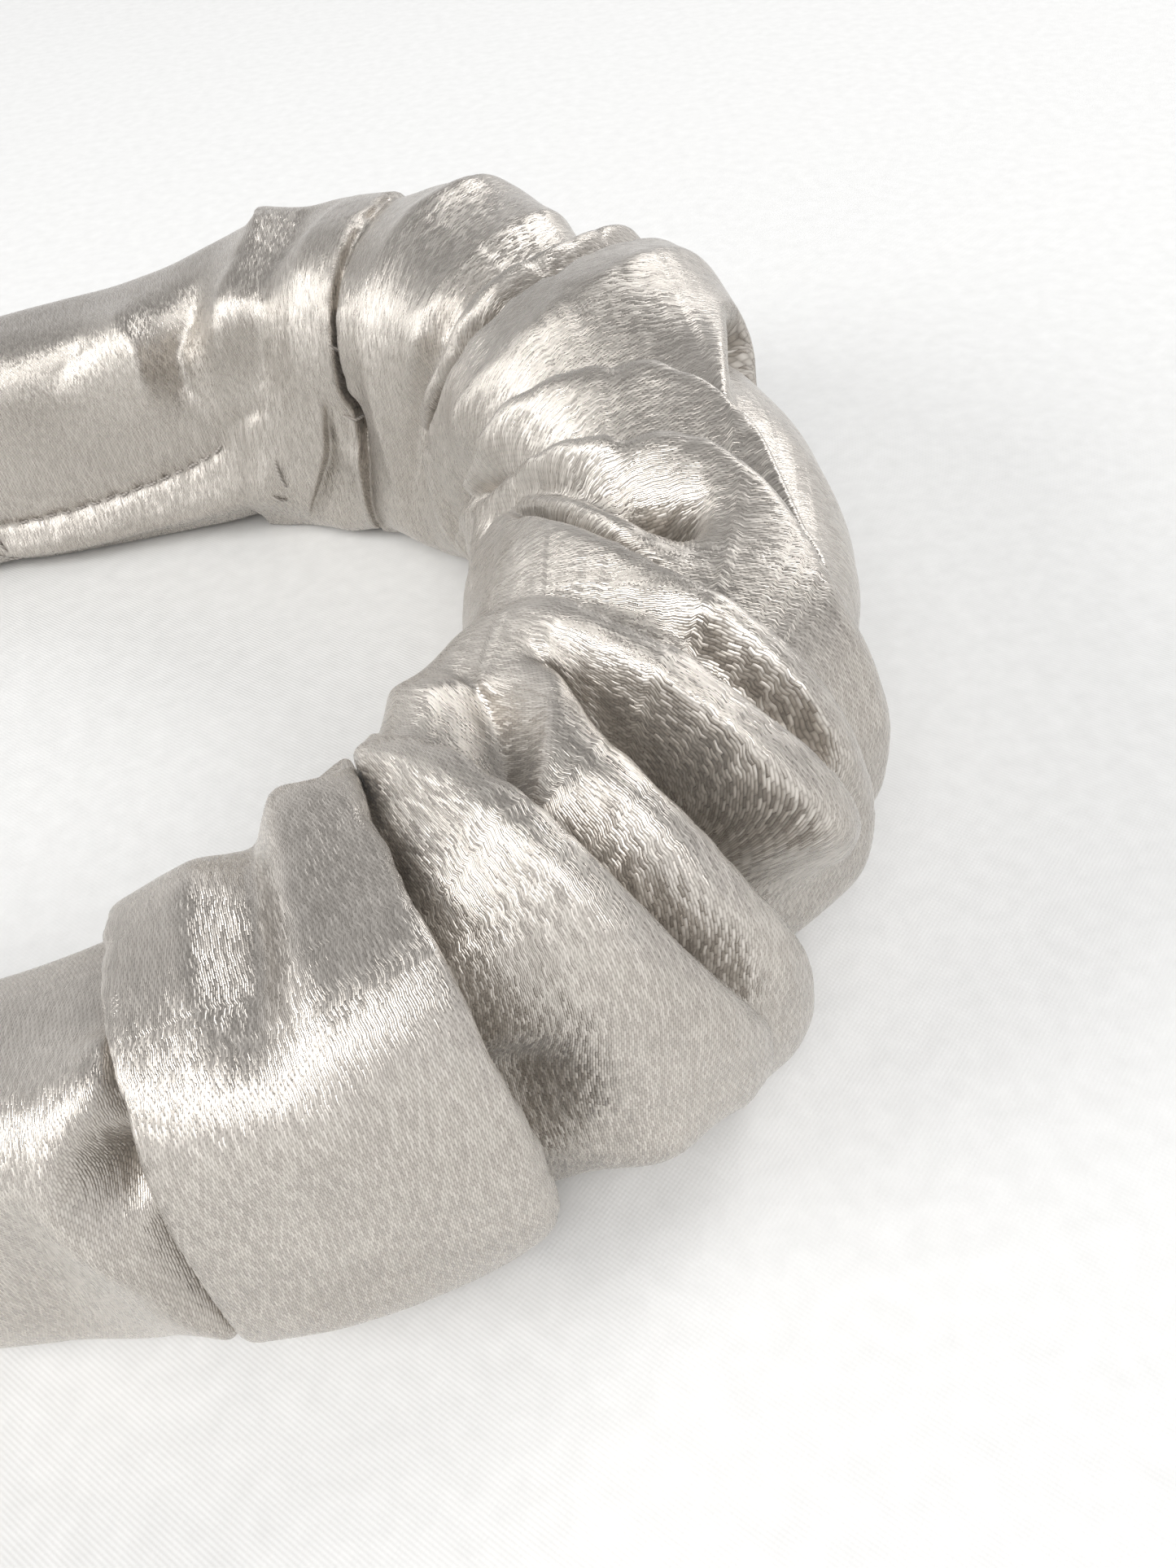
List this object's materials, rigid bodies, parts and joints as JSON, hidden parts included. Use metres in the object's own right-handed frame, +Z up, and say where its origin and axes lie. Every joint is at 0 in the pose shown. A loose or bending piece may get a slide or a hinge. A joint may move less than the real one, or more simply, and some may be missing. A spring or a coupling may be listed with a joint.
{
  "type": "padded ruched hair band",
  "caption": "Padded hair band: a thick gathered satin tube over wadding and foam on a sprung U-shaped band, tapering to capped tips.",
  "frame": {"origin": "on the plane the band lies on, under the centre of its overall box", "axes": "+X from the tips towards the crown, +Y towards the left half, +Z up from the plane the band lies on, across its width"},
  "size_m": [0.1686, 0.1598, 0.0458],
  "materials": {
    "satin": "champagne satin, floats running round the tube",
    "spring_band": "moulded natural plastic",
    "foam": "open-cell foam",
    "wadding": "polyester fibre wadding",
    "tape": "double-sided film tape",
    "thread": "polyester sewing thread"
  },
  "bodies": {
    "right_half": {"band_core_right": "spring_band", "adhesive_tape_right": "tape", "foam_pad_right": "foam", "wadding_roll_right": "wadding", "satin_cover_right": "satin", "seam_allowance_right": "satin", "seam_stitches_right": "thread", "tack_stitches_right": "thread", "tip_cap_right": "satin", "whip_stitches_right": "thread"},
    "left_half": {"band_core_left": "spring_band", "adhesive_tape_left": "tape", "foam_pad_left": "foam", "wadding_roll_left": "wadding", "satin_cover_left": "satin", "seam_allowance_left": "satin", "seam_stitches_left": "thread", "tack_stitches_left": "thread", "tip_cap_left": "satin", "whip_stitches_left": "thread"}
  },
  "joints": [
    {"name": "spread", "type": "hinge", "parent": "right_half", "child": "left_half", "pos_m": [0.06198, 0, 0.018], "axis": [0, 0, -1], "range_deg": [0, 14], "stiffness_Nm_per_rad": 1.5}
  ]
}
